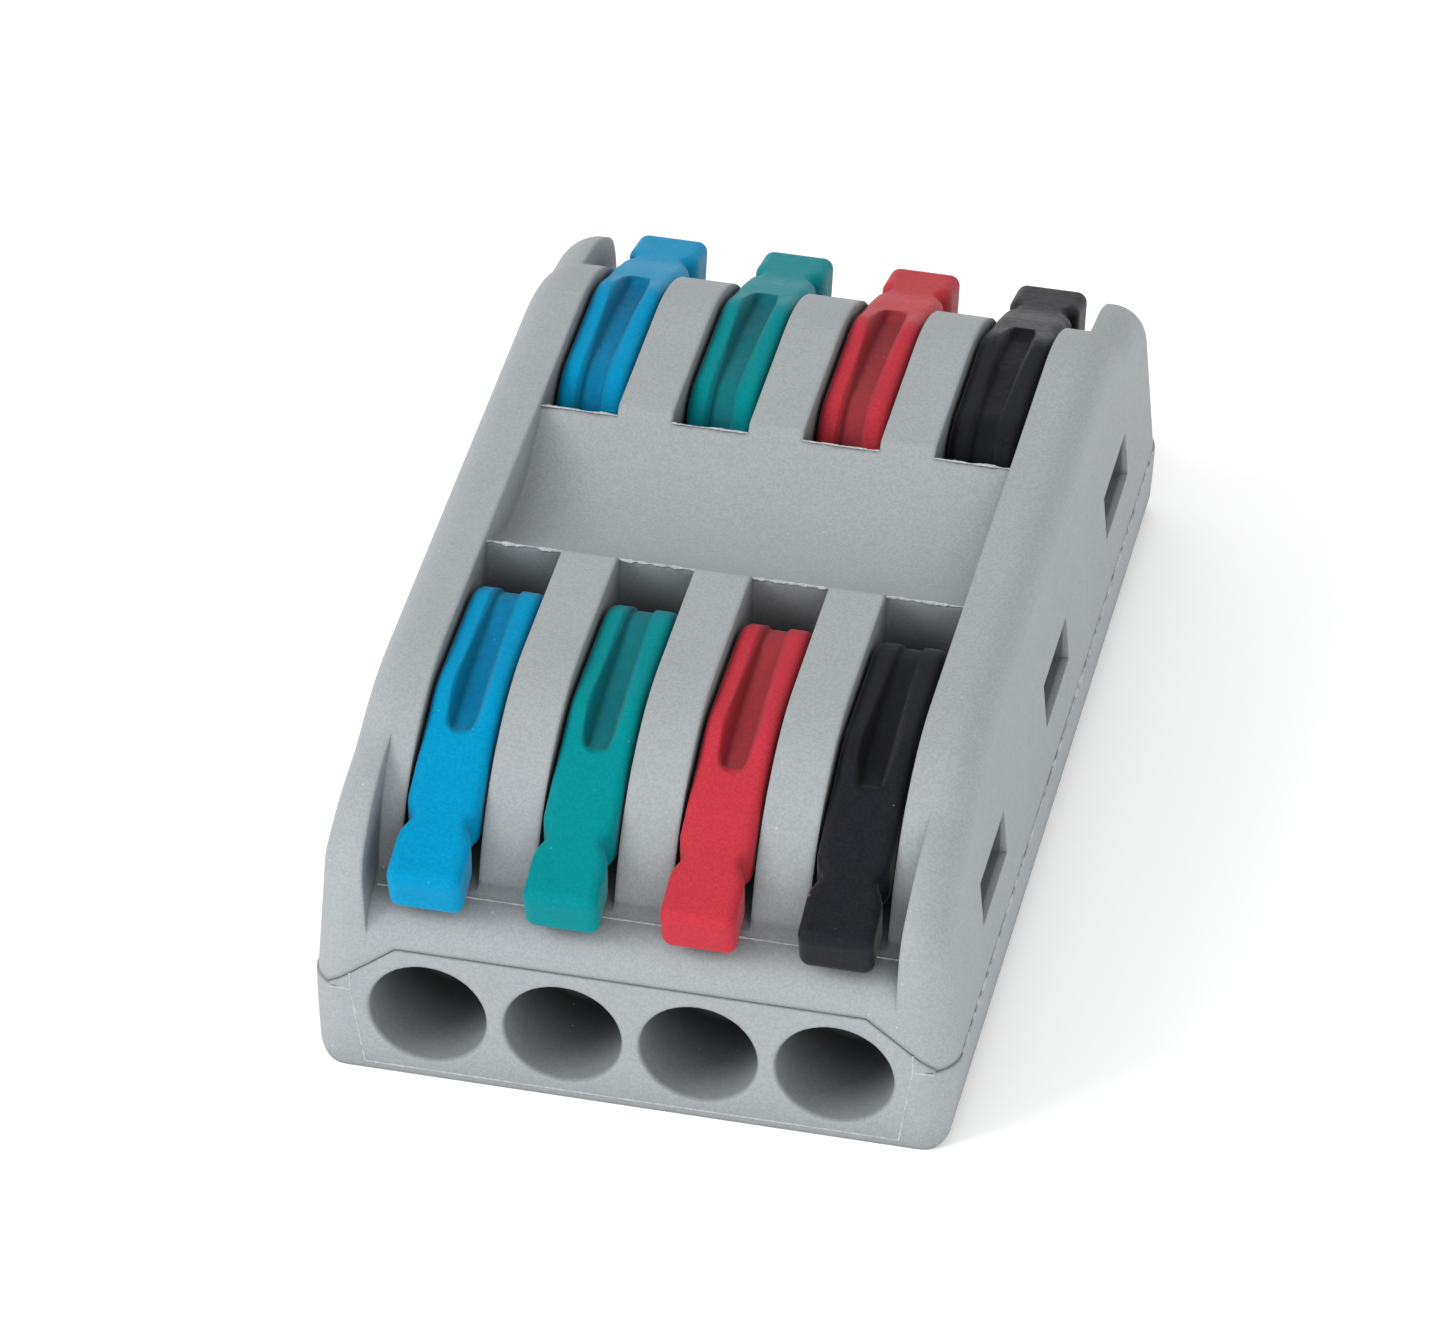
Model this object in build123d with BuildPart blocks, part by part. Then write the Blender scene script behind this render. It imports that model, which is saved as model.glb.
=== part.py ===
from build123d import *

import os

# In-line lever wire connector: four poles side by side, one wire in at each end of every pole.
# Origin at the centre of the underside, X across the poles, Y along the wires, Z up.
# Everything repeats at the pole pitch along X, and the front half (-Y) mirrors the rear half (+Y).
# All dimensions are millimetres.

# ---- whole connector ----
pole_pitch = 5.5
length = 43.2
width = 26.2
height = 14.2
half_length = length / 2
half_width = width / 2
lever_colours = ["blue", "green", "red", "black"]
pole_count = len(lever_colours)
pole_positions = [(index - (pole_count - 1) / 2) * pole_pitch for index in range(pole_count)]
corner_radius = 1.5
seam_gap = 0.04

# ---- base: tray, deck, end plates and snap tongues ----
tray_half_foot = 12.85
tray_height = 3.95
tray_edge_radius = 0.95
deck_half_width = 10.4
deck_height = 5.7
deck_gap = 0.08
end_plate_top = 6.3
end_plate_half_top = 9.5
end_plate_foot = 4.03
end_plate_half_foot = 12.28
end_plate_inner = 15.0

# ---- wire path through the base ----
entry_height = 3.22
entry_radius = 2.39
entry_rim = 0.12
entry_depth = 5.0
neck_radius = 1.5
neck_start = 15.3
chamber_half_width = 1.75
chamber_floor = 1.3
wire_stop = 6.0
bar_bed = 4.75

# ---- cover: cheeks, ribs, slots, dish and latch windows ----
cover_half_foot = half_width - 0.06
cover_half_top = 12.25
cover_end = half_length - 0.06
rib_flat = 11.5
nose_radius = 7.96
nose_height = height - nose_radius
rib_foot = 19.2
rib_foot_height = 8.45
rib_crest = (14.55, 13.62)
nose_front_radius = 8.0
ridge = 19.95
ridge_height = 8.2
lip_middle = (21.15, 7.58)
lip_end = (21.65, 6.5)
nose_split_angle = 33
cheek_hollow = (18.2, 12.2)
cheek_swell = (20.25, 11.2)
cheek_end_height = 9.1
channel_half_floor = 10.65
channel_half_top = 11.0
channel_floor = 6.4
slot_half_width = 1.607
slot_inner = 4.66
slot_floor = 8.3
cell_inner = 1.2
cell_outer = 13.9
cell_shoulder = 8.5
cell_roof = 10.7
dish_half_length = 9.857
dish_radius = 6.7
dish_bottom = 12.0
latch_positions = [-12.75, 0.0, 12.75]
window_length = 4.6
window_bottom = 6.4
window_top = 8.5
tongue_inner = 11.0
tongue_root = 0.5
tongue_outer = 11.75
tongue_length = 7.4
tongue_top = 9.0
tongue_gap = 0.08
lug_reach = 12.0
lug_lip = 0.4
lug_gap = 0.12

# ---- levers ----
lever_width = 2.96
lever_top = 13.8
lever_edge = 0.45
inner_radius = 2.3
inner_centre = (8.25, lever_top - inner_radius)
crest_end = (12.9, lever_top)
crown_fall = (15.1, 13.1)
crown_waist = (17.3, 12.15)
crown_neck = (18.7, 11.5)
crown_head = (19.6, 11.2)
waist_fall = -0.5
head_fall = -0.32
head_top_end = (22.0, 10.45)
head_bottom_end = (21.45, 8.3)
head_heel = (18.3, 9.5)
arm_heel = (16.0, 10.4)
cam_heel = (11.4, 11.0)
pivot_position = 9.3
pivot_height = 10.5
cam_radius = 1.8
journal_radius = 0.9
journal_half_span = 2.0
journal_gap = 0.05
groove_half_floor = 0.4
groove_flank = 0.5
groove_inner_depth = 0.13
groove_slope = 5.7
groove_foot = 10.9
groove_crest_run = 3.5
groove_fall_radius = 3.0
groove_fall_angle = 5.0
groove_fall_run = 2.5
groove_rise_radius = 1.2
groove_rise_angle = 45
groove_run_out = 1.0
groove_reach = 1.0
waist_start = 18.0
waist_centre = 18.9
waist_depth = 0.34
head_start = 20.0
head_flare = 0.02
head_half_tip = 1.52

# ---- current bars and clamp springs ----
bar_thickness = 0.9
bar_width = 3.2
bar_end = 14.3
bar_shoulder = 12.2
bar_tongue_width = 1.8
bar_window_gap = 0.1
spring_thickness = 0.4
spring_width = 3.0
spring_window_width = 2.1
spring_crossbar = 0.6
spring_leg = 13.2
spring_back = 2.9
spring_apex = 10.6
spring_shoulder = 6.8
spring_seat_end = 11.6
spring_bend = 1.8
spring_nose_bend = 0.8


def both_ends(rear_piece):
    """The rear piece, then its mirror image at the front."""
    return [rear_piece, mirror(rear_piece, about=Plane.XZ)]


def both_sides(right_piece):
    """The right-hand piece and its mirror image on the left."""
    return [right_piece, mirror(right_piece, about=Plane.YZ)]


def end_plate(gap, inner, outer):
    """Rear end plate with sloping shoulders, grown upwards by a gap."""
    foot = tray_height - 1
    with BuildPart() as plate:
        with BuildSketch(Plane.XZ.offset(-inner)):
            with BuildLine():
                Polyline(
                    (-end_plate_half_foot, foot),
                    (-end_plate_half_foot, end_plate_foot + gap),
                    (-end_plate_half_top, end_plate_top + gap),
                    (end_plate_half_top, end_plate_top + gap),
                    (end_plate_half_foot, end_plate_foot + gap),
                    (end_plate_half_foot, foot),
                    close=True,
                )
            make_face()
        extrude(amount=-(outer - inner))
    return plate.part


def wire_entry():
    """Space of one rear wire path: mouth, straight entry, funnel and neck."""
    start = end_plate_inner - 1
    outside = half_length + 1
    wall = entry_height + entry_radius
    with BuildPart() as entry:
        with BuildSketch(Plane.YZ):
            with BuildLine():
                RadiusArc((half_length, wall + entry_rim), (half_length - entry_rim, wall), entry_rim)
                Polyline(
                    (half_length - entry_rim, wall),
                    (half_length - entry_depth, wall),
                    (neck_start, entry_height + neck_radius),
                    (start, entry_height + neck_radius),
                    (start, entry_height),
                    (outside, entry_height),
                    (outside, wall + entry_rim),
                    (half_length, wall + entry_rim),
                )
            make_face()
        revolve(axis=Axis((0, 0, entry_height), (0, 1, 0)))
    return entry.part


def base_cell():
    """Space of one rear clamp in the base: deep up to the wire stop, shallow under the bar."""
    with BuildPart() as cell:
        with BuildSketch(Plane.YZ):
            with BuildLine():
                Polyline(
                    (0, bar_bed),
                    (wire_stop, bar_bed),
                    (wire_stop, chamber_floor),
                    (end_plate_inner, chamber_floor),
                    (end_plate_inner, height),
                    (0, height),
                    close=True,
                )
            make_face()
        extrude(amount=chamber_half_width, both=True)
    return cell.part


def snap_tongue():
    """One right-hand tongue with its ramped lug, centred on its latch."""
    lug_bottom = window_bottom + lug_gap
    with BuildPart() as tongue:
        with BuildSketch(Plane.XZ):
            with BuildLine():
                Polyline(
                    (tongue_inner, tray_height - tongue_root),
                    (tongue_outer, tray_height - tongue_root),
                    (tongue_outer, tongue_top),
                    (tongue_inner, tongue_top),
                    close=True,
                )
            make_face()
        extrude(amount=tongue_length / 2, both=True)
        with BuildSketch(Plane.XZ):
            with BuildLine():
                Polyline(
                    (tongue_inner, lug_bottom),
                    (lug_reach, lug_bottom),
                    (lug_reach, lug_bottom + lug_lip),
                    (tongue_outer, window_top - lug_gap),
                    (tongue_inner, window_top - lug_gap),
                    close=True,
                )
            make_face()
        extrude(amount=window_length / 2 - lug_gap, both=True)
    return tongue.part


def latch_space():
    """Space in the cover for one right-hand tongue, with the window for its lug."""
    pocket_height = tongue_top + tongue_gap - tray_height
    with BuildPart() as space:
        with BuildSketch(Plane.XY.offset(tray_height)):
            with Locations(((tongue_inner + tongue_outer) / 2, 0)):
                Rectangle(tongue_outer - tongue_inner + 2 * tongue_gap, tongue_length + 2 * tongue_gap)
        extrude(amount=pocket_height)
        with BuildSketch(Plane.YZ.offset(tongue_inner)):
            with Locations((0, (window_bottom + window_top) / 2)):
                Rectangle(window_length, window_top - window_bottom)
        extrude(amount=half_width)
    return space.part


def cover_cell():
    """Space of one rear lever and clamp in the cover: slot above, clamp room below."""
    with BuildPart() as cell:
        with BuildSketch(Plane.YZ):
            with BuildLine():
                Polyline(
                    (slot_inner, slot_floor),
                    (half_length + 1, slot_floor),
                    (half_length + 1, height + 1),
                    (slot_inner, height + 1),
                    close=True,
                )
            make_face()
        extrude(amount=slot_half_width, both=True)
        with BuildSketch(Plane.YZ):
            with BuildLine():
                Polyline(
                    (cell_inner, deck_height),
                    (cell_outer, deck_height),
                    (cell_outer, cell_shoulder),
                    (slot_inner, cell_shoulder),
                    (slot_inner, cell_roof),
                    (cell_inner, cell_roof),
                    close=True,
                )
            make_face()
        extrude(amount=chamber_half_width, both=True)
        with BuildSketch(Plane.YZ):
            with Locations((pivot_position, pivot_height)):
                Circle(journal_radius + journal_gap)
        extrude(amount=journal_half_span + journal_gap, both=True)
    return cell.part


def is_lever_rim(edge):
    """True for the long edges beside the crown, those round the tip and those beside the head's underside."""
    place = edge.center()
    size = edge.bounding_box().size
    on_side = abs(place.X) > groove_half_floor and size.Y > size.X
    inner_heel = place.Y < inner_centre[0] and place.Z < inner_centre[1]
    beside_crown = on_side and place.Z > head_top_end[1] and size.Y > 0.9 * size.Z and not inner_heel
    under_head = on_side and place.Y > head_heel[0] and place.Z < head_heel[1]
    around_tip = place.Y > head_bottom_end[0] - lever_edge
    return beside_crown or under_head or around_tip


def lever_groove():
    """Flat-bottomed groove: shallow over the inner round-over, deepening along the crest, with a steep outer end."""
    half_top = groove_half_floor + groove_flank * groove_reach
    bend = inner_radius - groove_inner_depth
    bend_start = (inner_centre[0] - bend, inner_centre[1])
    with BuildPart() as groove:
        with BuildLine(Plane.YZ) as path:
            Line((bend_start[0], groove_foot), bend_start)
            over = JernArc(bend_start, (0, 1), bend, -(90 + groove_slope))
            crest = Line(over @ 1, over @ 1 + groove_crest_run * (over % 1))
            fall = JernArc(crest @ 1, crest % 1, groove_fall_radius, -groove_fall_angle)
            run = Line(fall @ 1, fall @ 1 + groove_fall_run * (fall % 1))
            rise = JernArc(run @ 1, run % 1, groove_rise_radius, groove_rise_angle)
            Line(rise @ 1, rise @ 1 + groove_run_out * (rise % 1))
        with BuildSketch(Plane(path.line @ 0, x_dir=(1, 0, 0), z_dir=path.line % 0)):
            Polygon(
                (groove_half_floor, 0),
                (-groove_half_floor, 0),
                (-half_top, -groove_reach),
                (half_top, -groove_reach),
                align=None,
            )
        sweep(path=path.line)
    return groove.part


def rear_lever():
    """One rear lever, closed: cam and journals inside, arm in the slot, finger head outside."""
    cam_inner = pivot_position - cam_radius
    cam_outer = pivot_position + cam_radius
    inner_start = (inner_centre[0] - inner_radius, inner_centre[1])
    crest_start = (inner_centre[0], lever_top)
    half = lever_width / 2
    groove = lever_groove()
    with BuildPart() as lever:
        with BuildSketch(Plane.YZ):
            with BuildLine():
                RadiusArc(inner_start, crest_start, inner_radius)
                Line(crest_start, crest_end)
                Spline(crest_end, crown_fall, crown_waist, tangents=((1, 0), (1, waist_fall)))
                Spline(crown_waist, crown_neck, crown_head, tangents=((1, waist_fall), (1, head_fall)))
                Polyline(crown_head, head_top_end, head_bottom_end)
                Polyline(head_bottom_end, head_heel, arm_heel, cam_heel, (cam_outer, pivot_height))
                ThreePointArc(
                    (cam_outer, pivot_height),
                    (pivot_position, pivot_height - cam_radius),
                    (cam_inner, pivot_height),
                )
                Line((cam_inner, pivot_height), inner_start)
            make_face()
        extrude(amount=lever_width, both=True)
        with BuildSketch():
            with BuildLine():
                Polyline((0, 0), (half, 0), (half, waist_start))
                Spline(
                    (half, waist_start),
                    (half - waist_depth, waist_centre),
                    (half + head_flare, head_start),
                    tangents=((0, 1), (0, 1)),
                )
                Polyline((half + head_flare, head_start), (head_half_tip, half_length + 1), (0, half_length + 1))
                Line((0, half_length + 1), (0, 0))
            make_face()
            mirror(about=Plane.YZ)
        extrude(amount=height, mode=Mode.INTERSECT)
        fillet(lever.edges().filter_by(is_lever_rim), lever_edge)
        add(groove, mode=Mode.SUBTRACT)
        with BuildSketch(Plane.YZ):
            with Locations((pivot_position, pivot_height)):
                Circle(journal_radius)
        extrude(amount=journal_half_span, both=True)
    return lever.part


def current_bar():
    """Bar of one pole, its narrow tongues reaching through both clamp windows."""
    with BuildPart() as bar:
        with BuildSketch(Plane.XY.offset(bar_bed)):
            Rectangle(bar_width, 2 * bar_shoulder)
            Rectangle(bar_tongue_width, 2 * bar_end)
        extrude(amount=bar_thickness)
    return bar.part


def rear_spring():
    """Strip spring of one rear clamp: seat on the bar, back bend, top arm and windowed leg."""
    half = spring_thickness / 2
    seat = bar_bed + bar_thickness + half
    leg_end = bar_bed - bar_window_gap - spring_crossbar
    with BuildPart() as spring:
        with BuildSketch(Plane.YZ):
            with BuildLine():
                FilletPolyline(
                    (spring_seat_end, seat),
                    (spring_back, seat),
                    (spring_back, spring_apex),
                    (spring_leg, spring_shoulder),
                    (spring_leg, leg_end),
                    radius=(spring_bend, spring_bend, spring_nose_bend),
                )
            trace(line_width=spring_thickness)
        extrude(amount=spring_width / 2, both=True)
        with BuildSketch(Plane.XZ.offset(-spring_leg)):
            with Locations((0, bar_bed + bar_thickness / 2)):
                Rectangle(spring_window_width, bar_thickness + 2 * bar_window_gap)
        extrude(amount=spring_thickness, both=True, mode=Mode.SUBTRACT)
    return spring.part


def connector_base():
    """Lower housing: tray, deck, end plates with wire entries, clamp cells and snap tongues."""
    edge_start = tray_half_foot - tray_edge_radius
    plates = both_ends(end_plate(0, end_plate_inner, half_length))
    tongues = both_sides(snap_tongue())
    entries = both_ends(wire_entry())
    cells = both_ends(base_cell())
    with BuildPart() as base:
        with BuildSketch(Plane.XZ):
            with BuildLine():
                Line((0, 0), (edge_start, 0))
                RadiusArc((edge_start, 0), (tray_half_foot, tray_edge_radius), -tray_edge_radius)
                Polyline(
                    (tray_half_foot, tray_edge_radius),
                    (half_width, tray_height),
                    (0, tray_height),
                    (0, 0),
                )
            make_face()
            mirror(about=Plane.YZ)
        extrude(amount=half_length, both=True)
        add(plates)
        with BuildSketch():
            RectangleRounded(width, length, corner_radius)
        extrude(amount=height, mode=Mode.INTERSECT)
        with BuildSketch(Plane.XY.offset(tray_height - 1)):
            Rectangle(2 * deck_half_width, 2 * end_plate_inner)
        extrude(amount=deck_height - tray_height + 1)
        with Locations([(0, latch, 0) for latch in latch_positions]):
            add(tongues)
        with Locations([(pole, 0, 0) for pole in pole_positions]):
            add(entries, mode=Mode.SUBTRACT)
            add(cells, mode=Mode.SUBTRACT)
    return base.part


def channel_space():
    """Space over the rear ribs and lip, between the leaning inner walls of the cheeks."""
    outside = half_length + 1
    above = height + 1
    with BuildPart() as space:
        with BuildSketch(Plane.YZ):
            with BuildLine():
                RadiusArc(rib_crest, (rib_foot, rib_foot_height), nose_front_radius)
                Line((rib_foot, rib_foot_height), (ridge, ridge_height))
                ThreePointArc((ridge, ridge_height), lip_middle, lip_end)
                Polyline(lip_end, (outside, lip_end[1]), (outside, above), (rib_crest[0], above), rib_crest)
            make_face()
        extrude(amount=half_width, both=True)
        with BuildSketch(Plane.XZ):
            with BuildLine():
                Polyline(
                    (-channel_half_floor, channel_floor),
                    (-channel_half_top, above),
                    (channel_half_top, above),
                    (channel_half_floor, channel_floor),
                    close=True,
                )
            make_face()
        extrude(amount=-outside, mode=Mode.INTERSECT)
    return space.part


def connector_cover():
    """Upper housing: cheeks, lever ribs and slots, finger dish, end lips and latch windows."""
    floor = tray_height + seam_gap
    channels = both_ends(channel_space())
    plates = both_ends(end_plate(seam_gap, end_plate_inner - seam_gap, half_length + 1))
    latch_spaces = both_sides(latch_space())
    cells = both_ends(cover_cell())
    with BuildPart() as cover:
        # Block with leaning sides, shaped lengthways to the cheek line and rounded all along its rim.
        with BuildSketch(Plane.XZ):
            with BuildLine():
                Polyline(
                    (-cover_half_foot, floor),
                    (-cover_half_top, height),
                    (cover_half_top, height),
                    (cover_half_foot, floor),
                    close=True,
                )
            make_face()
        extrude(amount=cover_end, both=True)
        with BuildSketch(Plane.YZ):
            with BuildLine():
                Line((0, height), (rib_flat, height))
                nose = CenterArc((rib_flat, nose_height), nose_radius, 90, -nose_split_angle)
                cheek = Spline(
                    nose @ 1,
                    cheek_hollow,
                    cheek_swell,
                    (cover_end, cheek_end_height),
                    tangents=(nose % 1, (0, -1)),
                )
                Polyline(cheek @ 1, (cover_end, 0), (0, 0), (0, height))
            make_face()
            mirror(about=Plane.YZ)
        extrude(amount=half_width, both=True, mode=Mode.INTERSECT)
        side_faces = cover.faces().sort_by(Axis.X)
        rim = (side_faces[0].edges() + side_faces[-1].edges()).sort_by(Axis.Z)[2:]
        fillet(rim, corner_radius)
        add(channels, mode=Mode.SUBTRACT)
        # Finger dish across the middle.
        with BuildSketch(Plane.YZ):
            with Locations((0, dish_bottom + dish_radius)):
                Circle(dish_radius)
        extrude(amount=dish_half_length, both=True, mode=Mode.SUBTRACT)
        # Underside, hollowed to sit over the base.
        with BuildSketch(Plane.XY.offset(tray_height)):
            Rectangle(2 * (deck_half_width + deck_gap), 2 * end_plate_inner)
        extrude(amount=deck_height - tray_height, mode=Mode.SUBTRACT)
        add(plates, mode=Mode.SUBTRACT)
        with Locations([(0, latch, 0) for latch in latch_positions]):
            add(latch_spaces, mode=Mode.SUBTRACT)
        with Locations([(pole, 0, 0) for pole in pole_positions]):
            add(cells, mode=Mode.SUBTRACT)
    return cover.part


# ---- build every piece ----
def save(piece, pole, name):
    """Set a piece over its pole, label it and write it as its own file."""
    with BuildPart() as placed:
        with Locations((pole, 0, 0)):
            add(piece)
    placed.part.label = name
    export_step(placed.part, f"parts/{name}.step")


os.makedirs("parts", exist_ok=True)
save(connector_base(), 0, "housing_base")
save(connector_cover(), 0, "housing_cover")
bar = current_bar()
rear_end_lever, front_end_lever = both_ends(rear_lever())
rear_end_spring, front_end_spring = both_ends(rear_spring())
for number, (pole, colour) in enumerate(zip(pole_positions, lever_colours), start=1):
    save(bar, pole, f"current_bar_{number}")
    save(rear_end_lever, pole, f"lever_rear_{colour}")
    save(front_end_lever, pole, f"lever_front_{colour}")
    save(rear_end_spring, pole, f"clamp_spring_rear_{number}")
    save(front_end_spring, pole, f"clamp_spring_front_{number}")
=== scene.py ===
import math

import bmesh
import bpy
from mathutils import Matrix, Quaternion, Vector, noise


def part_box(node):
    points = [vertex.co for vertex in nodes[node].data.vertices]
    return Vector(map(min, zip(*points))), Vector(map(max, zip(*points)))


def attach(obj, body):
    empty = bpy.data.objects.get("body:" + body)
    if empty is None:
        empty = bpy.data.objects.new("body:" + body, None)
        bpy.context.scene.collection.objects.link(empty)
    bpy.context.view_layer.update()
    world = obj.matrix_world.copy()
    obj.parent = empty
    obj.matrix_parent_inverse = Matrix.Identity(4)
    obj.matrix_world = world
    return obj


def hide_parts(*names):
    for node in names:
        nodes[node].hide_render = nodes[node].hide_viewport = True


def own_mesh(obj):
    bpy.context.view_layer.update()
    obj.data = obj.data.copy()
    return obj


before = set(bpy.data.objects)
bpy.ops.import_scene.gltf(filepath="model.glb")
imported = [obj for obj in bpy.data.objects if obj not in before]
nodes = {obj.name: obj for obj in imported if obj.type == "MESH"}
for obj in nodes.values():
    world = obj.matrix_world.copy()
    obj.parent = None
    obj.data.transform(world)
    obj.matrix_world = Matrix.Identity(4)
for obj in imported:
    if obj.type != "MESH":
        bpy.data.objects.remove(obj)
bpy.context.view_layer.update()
scene = bpy.context.scene

MM = 0.001
PITCH = 5.5 * MM
POLES = {"blue": -8.25 * MM, "green": -2.75 * MM, "red": 2.75 * MM, "black": 8.25 * MM}
ENDS = (("front", -1), ("rear", 1))

# ---------------------------------------------------------------- camera and light
CAMERA_LENS = 232.015
CAMERA_SENSOR = 36.0
CAMERA_PLACE = Vector((0.065191, -0.288397, 0.241793))
CAMERA_AZIMUTH = math.radians(13.0236)
CAMERA_ELEVATION = math.radians(38.6309)
CAMERA_ROLL = math.radians(-0.1936)
LAMP_AIM = (0, 0, 0.007)
KEY_PLACE, KEY_SIZE, KEY_POWER = (-0.50, -0.28, 0.45), 0.35, 2.6
FILL_PLACE, FILL_SIZE, FILL_POWER = (0.20, -0.55, 0.20), 0.6, 1.7
WORLD_STRENGTH = 0.87


def place_camera():
    """The scene's camera, looking along its azimuth and elevation, turned by its roll."""
    data = bpy.data.cameras.new("camera")
    data.lens = CAMERA_LENS
    data.sensor_width = CAMERA_SENSOR
    data.clip_start = 0.01
    data.clip_end = 20
    camera = bpy.data.objects.new("camera", data)
    scene.collection.objects.link(camera)
    back = Vector((
        math.sin(CAMERA_AZIMUTH) * math.cos(CAMERA_ELEVATION),
        -math.cos(CAMERA_AZIMUTH) * math.cos(CAMERA_ELEVATION),
        math.sin(CAMERA_ELEVATION),
    ))
    camera.location = CAMERA_PLACE
    camera.rotation_mode = "QUATERNION"
    facing = (-back).to_track_quat("-Z", "Y")
    camera.rotation_quaternion = facing @ Quaternion((0, 0, 1), CAMERA_ROLL)
    scene.camera = camera


def lamp(name, place, size, power):
    """A square white area light at place, facing the object."""
    light = bpy.data.lights.new(name, "AREA")
    light.shape = "SQUARE"
    light.size = size
    light.energy = power
    lit = bpy.data.objects.new(name, light)
    scene.collection.objects.link(lit)
    lit.location = place
    lit.rotation_mode = "QUATERNION"
    lit.rotation_quaternion = (Vector(place) - Vector(LAMP_AIM)).to_track_quat("Z", "Y")


place_camera()
scene.view_settings.view_transform = "Standard"
scene.view_settings.look = "None"
lamp("key", KEY_PLACE, KEY_SIZE, KEY_POWER)
lamp("fill", FILL_PLACE, FILL_SIZE, FILL_POWER)

world = bpy.data.worlds.new("studio")
scene.world = world
world.use_nodes = True
surroundings = world.node_tree.nodes["Background"]
surroundings.inputs["Color"].default_value = (1, 1, 1, 1)
surroundings.inputs["Strength"].default_value = WORLD_STRENGTH


# ---------------------------------------------------------------- materials
MIX_FACTOR, MIX_FIRST, MIX_SECOND = 0, 6, 7

CLOUD_SCALE, MOTTLE_SCALE, FINE_SCALE = 420, 2600, 9000
CLOUD_WEIGHT, MOTTLE_WEIGHT, FINE_WEIGHT = 0.12, 0.18, 0.70
FINE_RELIEF, MOTTLE_RELIEF = 0.8, 0.5
GRAIN_HEIGHT = 0.03 * MM
ROUGHNESS_SPREAD = 0.06
SHEEN_ROUGHNESS = 0.30
DUST_CELLS, PIT_CELLS = 760, 530
DUST_COLOUR = (0.72, 0.72, 0.72)
NODE_SAMPLES = 4

GROOVE_TURN = 15.0 * MM
GROOVE_LEE = 0.30 * MM
# Share of painted shade on a groove's left flank.
GROOVE_FLANK_PAINTED_SHADE = 0.58

ENTRY_HEIGHT = 3.22 * MM
ENTRY_RADIUS = 2.39 * MM
ENTRY_MOUTH, ENTRY_END = 21.62 * MM, 16.4 * MM
WINDOWS_REACH = 15.2 * MM


class Tree:
    """A material's node tree, with short ways to add and join nodes."""

    def __init__(self, name):
        self.material = bpy.data.materials.new(name)
        self.material.use_nodes = True
        self.nodes = self.material.node_tree.nodes
        self.links = self.material.node_tree.links
        self.shader = self.nodes["Principled BSDF"]

    def add(self, kind, **settings):
        made = self.nodes.new(kind)
        for key, value in settings.items():
            setattr(made, key, value)
        return made

    def put(self, socket, value):
        """Join value to socket when it's a socket too; otherwise set it."""
        if isinstance(value, bpy.types.NodeSocket):
            self.links.new(value, socket)
        elif socket.type == "RGBA" and len(value) == 3:
            socket.default_value = (*value, 1)
        else:
            socket.default_value = value

    def set(self, **values):
        """Shader inputs, with an underscore for each space in the name."""
        for key, value in values.items():
            self.put(self.shader.inputs[key.replace("_", " ")], value)

    def place(self):
        return self.add("ShaderNodeTexCoord").outputs["Object"]

    def split(self, place):
        made = self.add("ShaderNodeSeparateXYZ")
        self.put(made.inputs[0], place)
        return made.outputs["X"], made.outputs["Y"], made.outputs["Z"]

    def math(self, operation, a, b=0.0):
        made = self.add("ShaderNodeMath", operation=operation)
        self.put(made.inputs[0], a)
        self.put(made.inputs[1], b)
        return made.outputs[0]

    def times(self, first, *others):
        for other in others:
            first = self.math("MULTIPLY", first, other)
        return first

    def length(self, a, b):
        return self.math("SQRT", self.math("ADD", self.times(a, a), self.times(b, b)))

    def ramp(self, value, low, high, out_low=0.0, out_high=1.0):
        made = self.add("ShaderNodeMapRange", interpolation_type="SMOOTHSTEP")
        for socket, what in zip(made.inputs, (value, low, high, out_low, out_high)):
            self.put(socket, what)
        return made.outputs[0]

    def mix(self, factor, a, b):
        made = self.add("ShaderNodeMix", data_type="RGBA")
        self.put(made.inputs[MIX_FACTOR], factor)
        self.put(made.inputs[MIX_FIRST], a)
        self.put(made.inputs[MIX_SECOND], b)
        return made.outputs[2]

    def noise(self, place, scale, detail=2.0, rough=0.5):
        made = self.add("ShaderNodeTexNoise")
        self.put(made.inputs["Vector"], place)
        made.inputs["Scale"].default_value = scale
        made.inputs["Detail"].default_value = detail
        made.inputs["Roughness"].default_value = rough
        return made.outputs[0]

    def cells(self, place, scale):
        """Distance to the nearest of scattered points."""
        made = self.add("ShaderNodeTexVoronoi", feature="F1")
        self.put(made.inputs["Vector"], place)
        made.inputs["Scale"].default_value = scale
        return made.outputs["Distance"]

    def bump(self, height, strength, distance, normal=None):
        made = self.add("ShaderNodeBump")
        made.inputs["Strength"].default_value = strength
        made.inputs["Distance"].default_value = distance
        self.put(made.inputs["Height"], height)
        if normal is not None:
            self.put(made.inputs["Normal"], normal)
        self.set(Normal=made.outputs[0])


def faded(colour, keep):
    """The colour, with this share of its brightness kept."""
    return [channel * keep for channel in colour]


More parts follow.
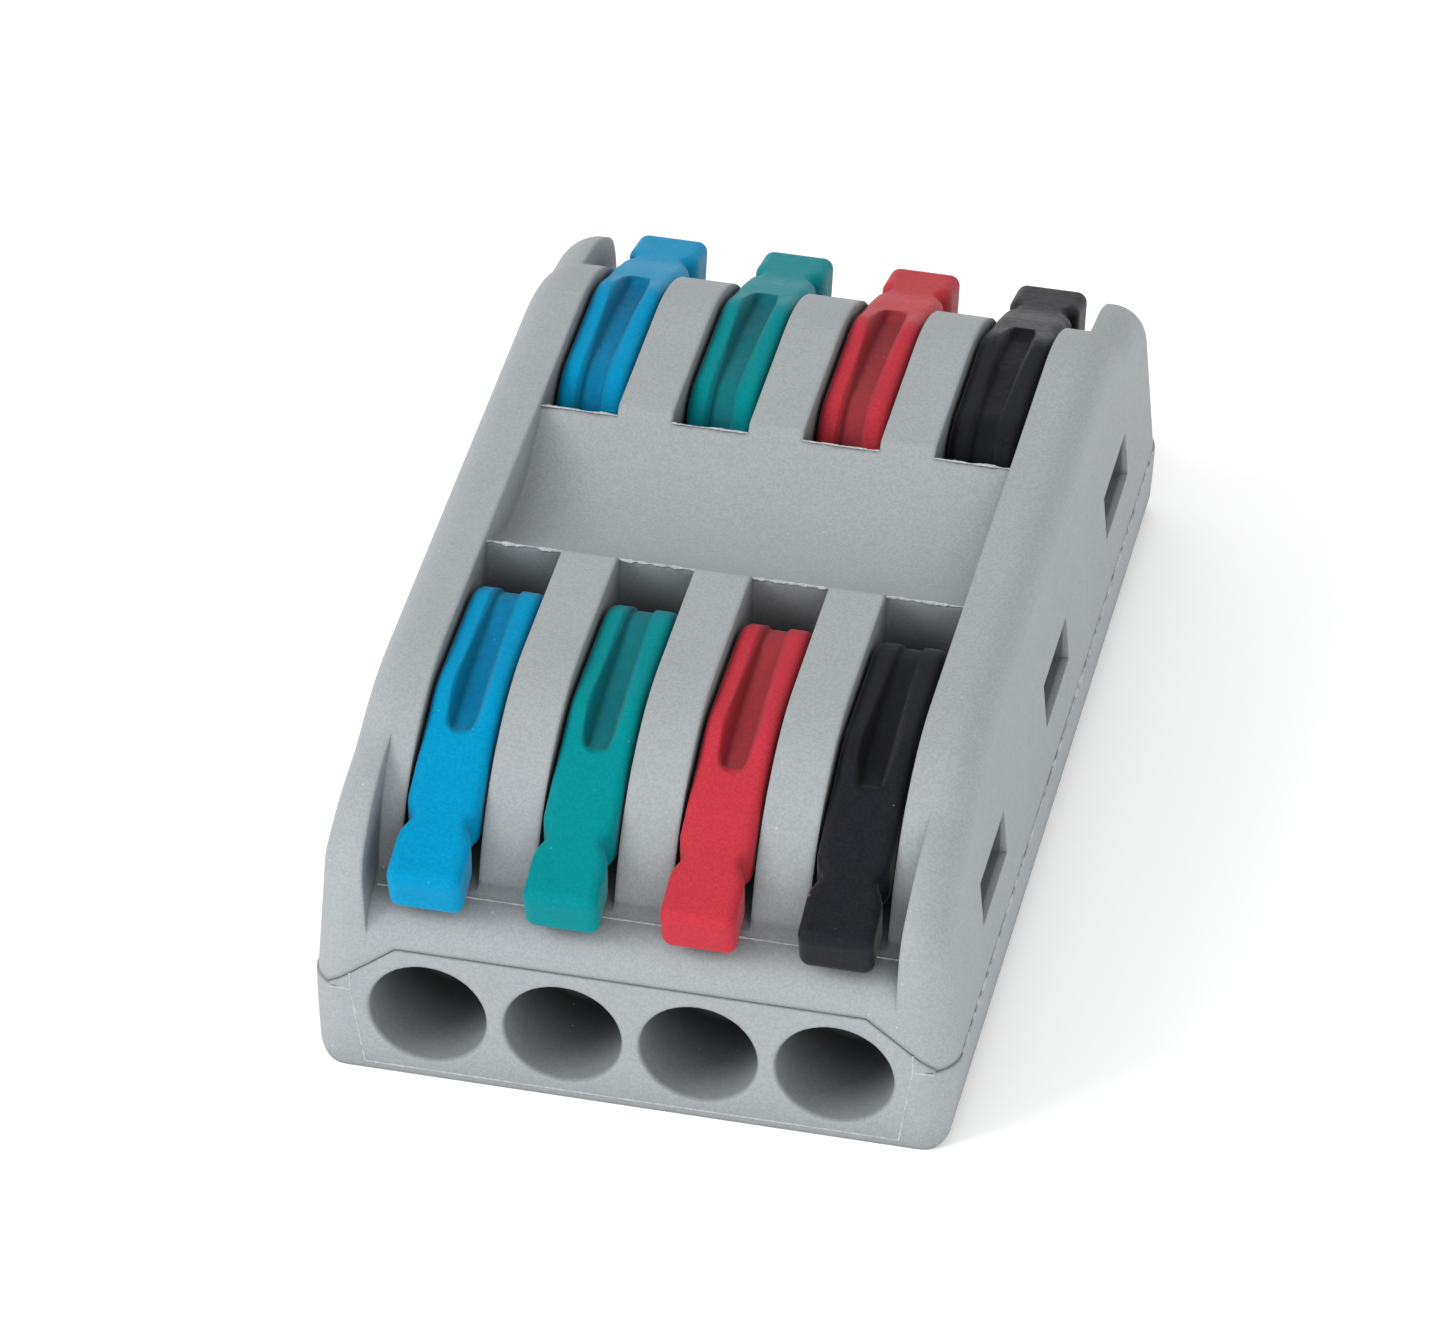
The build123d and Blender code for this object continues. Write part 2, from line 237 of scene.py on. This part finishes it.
def groove_floor_and_painted_shade(t, place, mottle, colour, middle, tint, deep):
    """Darker mottled floor of a lever's groove, with painted shade on its left flank that wraps
    round the outer end.
    """
    x, y, _ = t.split(place)
    aside = t.math("SUBTRACT", x, middle)
    past = t.math("MAXIMUM", t.math("SUBTRACT", t.math("ABSOLUTE", y), GROOVE_TURN), 0.0)
    off = t.length(aside, past)
    floor_darkened = t.times(t.ramp(off, 0.72 * MM, 0.34 * MM), t.ramp(mottle, 0.2, 0.8, 0.40, 0.66))
    colour = t.mix(floor_darkened, colour, tint)
    # Painted shade: the groove's left flank and its outer end are darkened as if in shade.
    flank = t.times(t.ramp(off, 0.78 * MM, 0.60 * MM), t.ramp(off, 0.18 * MM, 0.42 * MM))
    left = t.ramp(aside, GROOVE_LEE, -GROOVE_LEE)
    outer = t.ramp(past, 0.0, 0.5 * MM, 0.0, 0.4)
    painted_flank_shade = t.times(flank, t.math("MAXIMUM", left, outer), GROOVE_FLANK_PAINTED_SHADE)
    return t.mix(painted_flank_shade, colour, faded(deep, 0.35))


def entry_shadow(t, place, colour, deep):
    """Painted shade inside the wire entries, darker with depth."""
    x, y, z = t.split(place)
    turn = t.math("FRACT", t.times(x, 1 / PITCH))
    aside = t.times(t.math("SUBTRACT", turn, 0.5), PITCH)
    off_axis = t.length(aside, t.math("SUBTRACT", z, ENTRY_HEIGHT))
    inside = t.ramp(off_axis, ENTRY_RADIUS + 0.12 * MM, ENTRY_RADIUS + 0.02 * MM)
    depth = t.ramp(t.math("ABSOLUTE", y), ENTRY_MOUTH, ENTRY_END, 0.22, 0.90)
    inboard = t.ramp(t.math("ABSOLUTE", x), 11.1 * MM, 10.9 * MM)
    return t.mix(t.times(inside, depth, inboard), colour, faded(deep, 0.10))


def window_shadow(t, place, colour, deep):
    """Painted shade in the recess behind the latch windows."""
    x, y, z = t.split(place)
    across = t.math("ABSOLUTE", x)
    painted_recess_shade = t.times(
        t.ramp(across, 11.1 * MM, 11.3 * MM),
        t.ramp(across, 12.62 * MM, 12.52 * MM),
        t.ramp(t.math("ABSOLUTE", y), WINDOWS_REACH + 0.2 * MM, WINDOWS_REACH),
        t.ramp(z, 8.6 * MM, 8.5 * MM),
        t.ramp(z, 6.2 * MM, 6.35 * MM),
    )
    return t.mix(painted_recess_shade, colour, faded(deep, 0.42))


def moulded(name, deep, pale, roughness, grain, round_edge, edge_lift, specks, specular,
            shade=0.0, reach=0.0, sheen=0.0, groove=None, housing=False):
    """Moulded nylon: mottled, grained, with soft pale edges, painted shade in crevices and a little
    dust.

    groove is the middle and the floor tint of a lever's groove; housing adds painted shade in its
    openings.
    """
    t = Tree(name)
    place = t.place()
    cloud = t.noise(place, CLOUD_SCALE, 3.0, 0.55)
    mottle = t.noise(place, MOTTLE_SCALE, 3.0, 0.6)
    fine = t.noise(place, FINE_SCALE, 2.0, 0.6)
    blotch = t.math("ADD", t.times(cloud, CLOUD_WEIGHT), t.times(mottle, MOTTLE_WEIGHT))
    blotch = t.math("ADD", blotch, t.times(fine, FINE_WEIGHT))
    colour = t.mix(t.ramp(blotch, 0.40, 0.60), deep, pale)

    bevel = t.add("ShaderNodeBevel", samples=NODE_SAMPLES)
    bevel.inputs["Radius"].default_value = round_edge * MM
    turned = t.add("ShaderNodeVectorMath", operation="DOT_PRODUCT")
    t.put(turned.inputs[0], bevel.outputs[0])
    t.put(turned.inputs[1], t.add("ShaderNodeNewGeometry").outputs["Normal"])
    edge = t.ramp(turned.outputs["Value"], 0.995, 0.80, 0.0, edge_lift)
    colour = t.mix(edge, colour, [min(1, c * 1.3 + 0.03) for c in pale])

    if groove:
        colour = groove_floor_and_painted_shade(t, place, mottle, colour, *groove, deep)
    if shade:
        # Painted shade: crevices and corners darkened by ambient occlusion.
        hollow = t.add("ShaderNodeAmbientOcclusion", samples=NODE_SAMPLES)
        hollow.inputs["Distance"].default_value = reach * MM
        painted_crevice_shade = t.ramp(hollow.outputs["AO"], 0.0, 0.66, shade, 0.0)
        colour = t.mix(painted_crevice_shade, colour, faded(deep, 0.12))
    if housing:
        # Painted shade in the wire entries and behind the latch windows.
        colour = entry_shadow(t, place, colour, deep)
        colour = window_shadow(t, place, colour, deep)

    dust = t.ramp(t.cells(place, DUST_CELLS), 0.045, 0.025, 0.0, specks)
    pits = t.ramp(t.cells(place, PIT_CELLS), 0.035, 0.02, 0.0, specks * 0.6)
    colour = t.mix(dust, colour, DUST_COLOUR)
    colour = t.mix(pits, colour, faded(deep, 0.5))
    low, high = roughness - ROUGHNESS_SPREAD, roughness + ROUGHNESS_SPREAD
    t.set(Base_Color=colour, Roughness=t.ramp(mottle, 0.3, 0.7, low, high))
    t.set(Specular_IOR_Level=specular, Sheen_Weight=sheen, Sheen_Roughness=SHEEN_ROUGHNESS)
    relief = t.math("ADD", t.times(fine, FINE_RELIEF), t.times(mottle, MOTTLE_RELIEF))
    t.bump(relief, grain, GRAIN_HEIGHT, bevel.outputs[0])
    return t.material


def strip_metal(name, colour, roughness, stretch):
    """Rolled strip: long fine scratches along the rolling direction over a mottled sheen."""
    t = Tree(name)
    place = t.place()
    scaled = t.add("ShaderNodeMapping")
    t.put(scaled.inputs["Vector"], place)
    scaled.inputs["Scale"].default_value = stretch
    lines = t.noise(scaled.outputs[0], FINE_SCALE, 3.0, 0.6)
    patch = t.noise(place, 900)
    t.set(Base_Color=t.mix(patch, faded(colour, 0.8), colour), Metallic=1.0)
    t.set(Roughness=t.ramp(lines, 0.3, 0.7, roughness - 0.08, roughness + 0.1))
    t.bump(lines, 0.3, 0.01 * MM)
    return t.material


def lever_plastic(colour, deep, pale, tint, edge_lift=0.25, specks=0.08, specular=0.04, sheen=0.10):
    return moulded(
        f"lever_{colour}_plastic", deep, pale, 0.48, grain=0.4, round_edge=0.28,
        edge_lift=edge_lift, specks=specks, specular=specular, shade=0.6, reach=1.6, sheen=sheen,
        groove=(POLES[colour], tint),
    )


GREY = moulded(
    "housing_plastic", (0.270, 0.292, 0.302), (0.312, 0.334, 0.345), 0.60, grain=0.5,
    round_edge=0.30, edge_lift=0.22, specks=0.30, specular=0.3, shade=0.75, reach=4.0, housing=True,
)
# Flash lines are paler than the housing and skip the crevice shade: paler flash plastic plus a
# painted highlight along the ridges.
FLASH = moulded(
    "housing_flash_plastic", (0.34, 0.36, 0.37), (0.44, 0.46, 0.47), 0.55, grain=0.5,
    round_edge=0.03, edge_lift=0.1, specks=0.0, specular=0.3,
)
LEVERS = {
    "blue": lever_plastic("blue", (0.0, 0.212, 0.40), (0.0, 0.250, 0.462), (0.004, 0.085, 0.195)),
    "green": lever_plastic("green", (0.0, 0.188, 0.208), (0.0, 0.216, 0.240), (0.012, 0.082, 0.10)),
    "red": lever_plastic("red", (0.395, 0.028, 0.040), (0.455, 0.034, 0.050), (0.115, 0.030, 0.036)),
    "black": lever_plastic(
        "black", (0.0065, 0.007, 0.010), (0.0105, 0.011, 0.015), (0.0025, 0.003, 0.0045),
        edge_lift=0.16, specks=0.34, specular=0.10, sheen=0.14,
    ),
}
TIN = strip_metal("tinned_strip", (0.72, 0.70, 0.66), 0.34, (1, 0.06, 1))
STEEL = strip_metal("spring_strip", (0.60, 0.60, 0.58), 0.28, (1, 0.06, 0.06))

for name, node in nodes.items():
    if name.startswith("housing"):
        material = GREY
    elif name.startswith("lever"):
        material = LEVERS[name.rsplit("_", 1)[1]]
    elif name.startswith("current_bar"):
        material = TIN
    else:
        material = STEEL
    node.data.materials.clear()
    node.data.materials.append(material)


# ---------------------------------------------------------------- moulding marks
SLOT_EDGE = Vector((0, 4.66, 13.886)) * MM
SLOT_HALF = Vector((1.607, 0, 0)) * MM
SHELF_RIDGE = Vector((0, 19.95, 8.2)) * MM
SHELF_HALF = Vector((10.6, 0, 0)) * MM
PLATE_JOINT = 3.95
PLATE_CORNER, PLATE_NOTCH, PLATE_NOTCH_TOP = 12.27, 11.4, 4.80
PLATE_FOOT, PLATE_FOOT_HEIGHT = 10.87, 0.32
SIDE_INSET = Vector((0, 1.6, 0)) * MM
SIDE_LIFT = 0.02 * MM
FLASH_STEP = 0.12 * MM
FLASH_SUNK = 0.02 * MM
BASE_LOW, BASE_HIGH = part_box("housing_base")


def flash_line(name, route, face, width, rise, rough, seed):
    """A thin raised line of moulding flash along a route on a face, uneven along its length."""
    face = Vector(face).normalized()
    stations = []
    for start, end in zip(route, route[1:]):
        steps = max(2, round((end - start).length / FLASH_STEP))
        stations += [start.lerp(end, step / steps) for step in range(steps)]
    stations.append(route[-1])
    mesh = bpy.data.meshes.new(name)
    build = bmesh.new()
    rings = []
    for index, place in enumerate(stations):
        ahead = stations[min(index + 1, len(stations) - 1)] - stations[max(index - 1, 0)]
        side = ahead.cross(face).normalized()
        where = place / MM * 1.9 + Vector((seed * 7.3, seed * 1.7, 0))
        uneven = noise.noise(where) + 0.5 * noise.noise(where * 4.1)
        height = rise * max(0.08, 1 + rough * uneven)
        uneven = noise.noise(where * 2.3 + Vector((5, 3, 1)))
        spread = width * max(0.35, 1 + 0.6 * rough * uneven)
        foot = place - face * FLASH_SUNK
        profile = (
            foot - side * spread / 2,
            foot + side * spread / 2,
            place + side * spread * 0.2 + face * height,
            place - side * spread * 0.2 + face * height,
        )
        rings.append([build.verts.new(point) for point in profile])
    for before, after in zip(rings, rings[1:]):
        for corner in range(4):
            following = (corner + 1) % 4
            build.faces.new((before[corner], before[following], after[following], after[corner]))
    build.faces.new(rings[0])
    build.faces.new(rings[-1])
    bmesh.ops.recalc_face_normals(build, faces=build.faces)
    build.to_mesh(mesh)
    build.free()
    mesh.materials.append(FLASH)
    line = bpy.data.objects.new(name, mesh)
    scene.collection.objects.link(line)
    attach(line, "housing")


for end, sign in ENDS:
    for number, (colour, pole) in enumerate(POLES.items(), start=1):
        middle = Vector((pole, sign * SLOT_EDGE.y, SLOT_EDGE.z))
        flash_line(f"slot_flash_{end}_{colour}", [middle - SLOT_HALF, middle + SLOT_HALF],
                   (0, 0.4 * sign, 1), 0.12 * MM, 0.026 * MM, 2.4, number + 5 * sign)
    shelf = Vector((0, sign * SHELF_RIDGE.y, SHELF_RIDGE.z))
    flash_line(f"shelf_ridge_{end}", [shelf - SHELF_HALF, shelf + SHELF_HALF],
               (0, 0.3 * sign, 1), 0.12 * MM, 0.022 * MM, 1.2, 20 + sign)
    plate = BASE_HIGH[1] if sign > 0 else BASE_LOW[1]
    left_half = [(-PLATE_CORNER, PLATE_JOINT), (-PLATE_NOTCH, PLATE_JOINT),
                 (-PLATE_FOOT, PLATE_FOOT_HEIGHT)]
    outline = left_half + [(-x, z) for x, z in reversed(left_half)]
    flash_line(f"plate_witness_{end}", [Vector((x * MM, plate, z * MM)) for x, z in outline],
               (0, sign, 0), 0.09 * MM, 0.016 * MM, 1.2, 30 + sign)
    for side, x in (("left", -PLATE_NOTCH), ("right", PLATE_NOTCH)):
        flash_line(f"plate_notch_{end}_{side}",
                   [Vector((x * MM, plate, z * MM)) for z in (PLATE_JOINT, PLATE_NOTCH_TOP)],
                   (0, sign, 0), 0.09 * MM, 0.016 * MM, 1.2, 40 + sign)

for side, reach in (("left", BASE_LOW.x), ("right", BASE_HIGH.x)):
    sense = math.copysign(1, reach)
    beside = reach - sense * SIDE_LIFT
    height = PLATE_JOINT * MM + SIDE_LIFT
    flash_line(f"side_flash_{side}",
               [Vector((beside, BASE_LOW.y, height)) + SIDE_INSET,
                Vector((beside, BASE_HIGH.y, height)) - SIDE_INSET],
               (sense, 0, 0.5), 0.12 * MM, 0.010 * MM, 2.6, 50 + sense)


# ---------------------------------------------------------------- clamp springs
for end, sign in ENDS:
    for number, (colour, pole) in enumerate(POLES.items(), start=1):
        node = nodes[f"clamp_spring_{end}_{number}"]
        strip = bpy.data.objects.new(f"spring_strip_{end}_{number}", node.data.copy())
        scene.collection.objects.link(strip)
        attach(strip, "housing")
        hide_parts(node.name)
        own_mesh(strip)


# ---------------------------------------------------------------- floor
FLOOR_HALF = 3.0
FLOOR_DROP = 0.00002
FLOOR_GLOW = 0.10


def floor_plane():
    """White paper under the connector, slightly overexposed."""
    mesh = bpy.data.meshes.new("floor")
    build = bmesh.new()
    bmesh.ops.create_grid(build, x_segments=8, y_segments=8, size=FLOOR_HALF)
    build.to_mesh(mesh)
    build.free()
    plane = bpy.data.objects.new("floor", mesh)
    plane.location = (0, 0, -FLOOR_DROP)
    scene.collection.objects.link(plane)
    t = Tree("paper_floor")
    paper = t.mix(t.noise(t.place(), 60), (0.97, 0.97, 0.97), (0.99, 0.99, 0.99))
    t.set(Base_Color=paper, Roughness=0.9)
    t.set(Emission_Color=(1, 1, 1, 1), Emission_Strength=FLOOR_GLOW)
    mesh.materials.append(t.material)


floor_plane()
